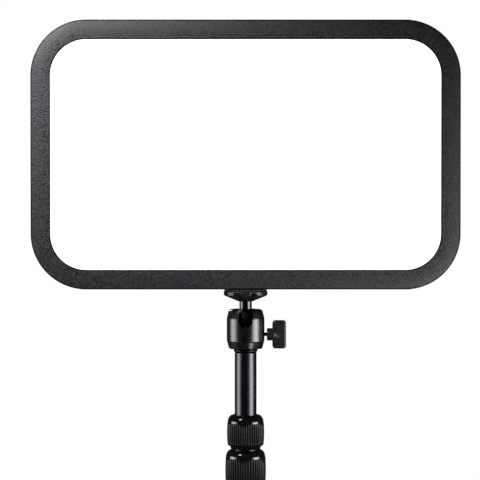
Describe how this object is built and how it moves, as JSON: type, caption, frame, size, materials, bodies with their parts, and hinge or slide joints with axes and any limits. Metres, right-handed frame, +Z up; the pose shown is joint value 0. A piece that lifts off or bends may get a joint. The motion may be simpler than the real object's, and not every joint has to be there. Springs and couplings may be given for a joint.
{
  "type": "led panel light",
  "caption": "Rounded rectangular light panel on a ball head with a wing lock knob, on a telescopic twist-lock pole with a desk clamp.",
  "frame": {"origin": "where the pole's axis meets the desk top, on the underside of the clamp's upper pad", "axes": "+Z up along the pole, the lit face towards -Y, +X to the viewer's right as the lit face is looked at"},
  "size_m": [0.37, 0.072, 0.7835],
  "materials": {
    "cast_paint": "fine black powder coat",
    "frame_paint": "fine-grained dark grey powder coat, satin",
    "anodised": "satin black anodised aluminium",
    "head_paint": "gloss black lacquered aluminium",
    "black_steel": "polished black-plated steel",
    "screw_steel": "black zinc-plated steel",
    "grip_rubber": "ribbed matt black rubber",
    "pad_rubber": "matt black rubber",
    "cover_plastic": "fine-textured matt black plastic",
    "knob_plastic": "satin black plastic",
    "gloss_plastic": "gloss black plastic",
    "acetal": "black acetal",
    "nylon": "natural nylon",
    "opal": "opal white diffuser, lit, satin",
    "clear_acrylic": "clear polished acrylic",
    "white_film": "white reflective film",
    "bare_aluminium": "plain rolled aluminium",
    "board": "green circuit board",
    "led_board": "white circuit board",
    "brass": "plain turned brass"
  },
  "bodies": {
    "stand": {"clamp_frame": "cast_paint", "clamp_top_pad": "pad_rubber", "pole_bolt": "screw_steel", "pole_plug": "acetal", "lower_tube": "anodised", "lower_lock_collet": "acetal"},
    "clamp_foot": {"clamp_foot": "anodised", "clamp_foot_pad": "pad_rubber"},
    "clamp_screw": {"clamp_screw": "black_steel", "clamp_hand_wheel": "knob_plastic"},
    "lower_collar": {"lower_lock_collar": "grip_rubber"},
    "mid_section": {"mid_tube": "anodised", "mid_tube_bush": "acetal", "upper_lock_collet": "acetal"},
    "upper_collar": {"upper_lock_collar": "grip_rubber"},
    "top_section": {"top_tube": "anodised", "top_tube_bush": "acetal", "pole_top_fitting": "anodised", "head_base": "head_paint"},
    "head": {"head_housing": "head_paint", "head_grub_screw": "screw_steel", "ball_cup": "nylon"},
    "lock_plug": {"lock_plug": "brass"},
    "lock_knob": {"lock_screw": "black_steel", "lock_knob": "knob_plastic"},
    "ball": {"ball": "black_steel"},
    "neck": {"neck": "black_steel", "mount_stud": "black_steel"},
    "wheel_pad": {"wheel_pad": "pad_rubber"},
    "lock_wheel": {"lock_wheel": "knob_plastic"},
    "panel": {"front_frame": "frame_paint", "diffuser": "opal", "light_guide": "clear_acrylic", "reflector_sheet": "white_film", "back_plate": "bare_aluminium", "led_strip_top": "led_board", "led_strip_bottom": "led_board", "rear_cover": "cover_plastic", "mount_insert": "brass", "driver_board": "board", "control_plate": "cover_plastic", "display_window": "gloss_plastic", "brightness_encoder": "cover_plastic", "colour_encoder": "cover_plastic", "dc_inlet": "gloss_plastic", "cover_screw_1": "screw_steel", "cover_screw_2": "screw_steel", "cover_screw_3": "screw_steel", "cover_screw_4": "screw_steel", "cover_screw_5": "screw_steel", "cover_screw_6": "screw_steel", "plate_screw_1": "screw_steel", "plate_screw_2": "screw_steel", "plate_screw_3": "screw_steel", "plate_screw_4": "screw_steel"},
    "brightness_dial": {"brightness_dial": "anodised"},
    "colour_dial": {"colour_dial": "anodised"},
    "power_button": {"power_button": "knob_plastic"},
    "mode_button": {"mode_button": "knob_plastic"}
  },
  "joints": [
    {"name": "clamp_travel", "type": "slide", "parent": "stand", "child": "clamp_foot", "axis": [0, 0, 1], "range_m": [-0.012, 0.018]},
    {"name": "clamp_screw_turn", "type": "hinge", "parent": "clamp_foot", "child": "clamp_screw", "pos_m": [0, -0.01, -0.04], "axis": [0, 0, 1], "range_deg": [-2180, 3265]},
    {"name": "lower_lock_turn", "type": "hinge", "parent": "stand", "child": "lower_collar", "pos_m": [0, 0, 0.2883], "axis": [0, 0, 1], "range_deg": [-90, 0]},
    {"name": "mid_section_slide", "type": "slide", "parent": "stand", "child": "mid_section", "axis": [0, 0, 1], "range_m": [0, 0.195]},
    {"name": "upper_lock_turn", "type": "hinge", "parent": "mid_section", "child": "upper_collar", "pos_m": [0, 0, 0.3205], "axis": [0, 0, 1], "range_deg": [-90, 0]},
    {"name": "top_section_slide", "type": "slide", "parent": "mid_section", "child": "top_section", "axis": [0, 0, 1], "range_m": [-0.0525, 0.16]},
    {"name": "head_pan", "type": "hinge", "parent": "top_section", "child": "head", "pos_m": [0, 0, 0.3993], "axis": [0, 0, 1], "continuous": true},
    {"name": "ball_lock_travel", "type": "slide", "parent": "head", "child": "lock_plug", "axis": [1, 0, 0], "range_m": [0, 0.0004]},
    {"name": "ball_lock_turn", "type": "hinge", "parent": "lock_plug", "child": "lock_knob", "pos_m": [0.022, 0, 0.4053], "axis": [1, 0, 0], "range_deg": [-1, 182]},
    {"name": "ball_roll", "type": "hinge", "parent": "head", "child": "ball", "pos_m": [0, 0, 0.4176], "axis": [0, 1, 0], "range_deg": [-20, 20]},
    {"name": "ball_tilt", "type": "hinge", "parent": "ball", "child": "neck", "pos_m": [0, 0, 0.4176], "axis": [1, 0, 0], "range_deg": [-20, 90]},
    {"name": "lock_wheel_travel", "type": "slide", "parent": "neck", "child": "wheel_pad", "axis": [0, 0, 1], "range_m": [-0.00065, 0]},
    {"name": "lock_wheel_turn", "type": "hinge", "parent": "wheel_pad", "child": "lock_wheel", "pos_m": [0, 0, 0.4386], "axis": [0, 0, 1], "range_deg": [-182, 1]},
    {"name": "panel_turn", "type": "hinge", "parent": "neck", "child": "panel", "pos_m": [0, 0, 0.4515], "axis": [0, 0, 1], "range_deg": [-180, 180]},
    {"name": "brightness_dial_turn", "type": "hinge", "parent": "panel", "child": "brightness_dial", "pos_m": [-0.042, 0.0245, 0.4913], "axis": [0, 1, 0], "continuous": true},
    {"name": "colour_dial_turn", "type": "hinge", "parent": "panel", "child": "colour_dial", "pos_m": [0.042, 0.0245, 0.4913], "axis": [0, 1, 0], "continuous": true},
    {"name": "power_button_press", "type": "slide", "parent": "panel", "child": "power_button", "axis": [0, -1, 0], "range_m": [0, 0.001], "stiffness_N_per_m": 300, "springref_m": -0.001},
    {"name": "mode_button_press", "type": "slide", "parent": "panel", "child": "mode_button", "axis": [0, -1, 0], "range_m": [0, 0.001], "stiffness_N_per_m": 300, "springref_m": -0.001}
  ],
  "couplings": [
    {"joint": "clamp_screw_turn", "follows": "clamp_travel", "rad_per_m": 3141.6},
    {"joint": "ball_lock_turn", "follows": "ball_lock_travel", "rad_per_m": 7854},
    {"joint": "lock_wheel_turn", "follows": "lock_wheel_travel", "rad_per_m": 4833.2}
  ]
}
